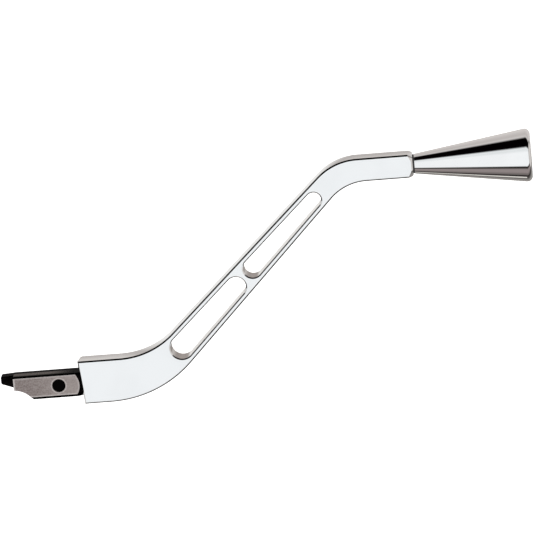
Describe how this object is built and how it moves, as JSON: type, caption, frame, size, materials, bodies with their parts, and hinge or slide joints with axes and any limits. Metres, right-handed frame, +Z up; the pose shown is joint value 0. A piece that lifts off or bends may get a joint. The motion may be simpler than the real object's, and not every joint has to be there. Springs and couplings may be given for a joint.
{
  "type": "steering column shift lever",
  "caption": "Cranked, slotted polished lever with a drilled steel pivot block at one end and a conical metal knob at the other.",
  "frame": {"origin": "on the axis of the cross bore in the pivot block, midway between the block's two side faces", "axes": "+X along both straight ends of the lever toward the knob, +Y along the pivot axis, +Z up, to the side that the arm's crank rises to"},
  "size_m": [0.2868, 0.0276, 0.1275],
  "materials": {
    "polished_aluminium": "mirror polished",
    "ground_black_steel": "black oxide with ground side faces",
    "blackened_steel": "black oxide",
    "plated_steel": "zinc plated",
    "chrome": "mirror polished",
    "black_rubber": "matte"
  },
  "bodies": {
    "pivot": {"pivot_pin": "blackened_steel"},
    "lever": {"pivot_block": "ground_black_steel", "lever_arm": "polished_aluminium", "shank_lock_screw_inner": "blackened_steel", "shank_lock_screw_outer": "blackened_steel", "knob_stud": "plated_steel", "knob_ring": "black_rubber", "knob": "chrome"}
  },
  "joints": [
    {"name": "lever_lift", "type": "hinge", "parent": "pivot", "child": "lever", "pos_m": [0, 0, 0], "axis": [0, -1, 0], "range_deg": [0, 12]}
  ]
}
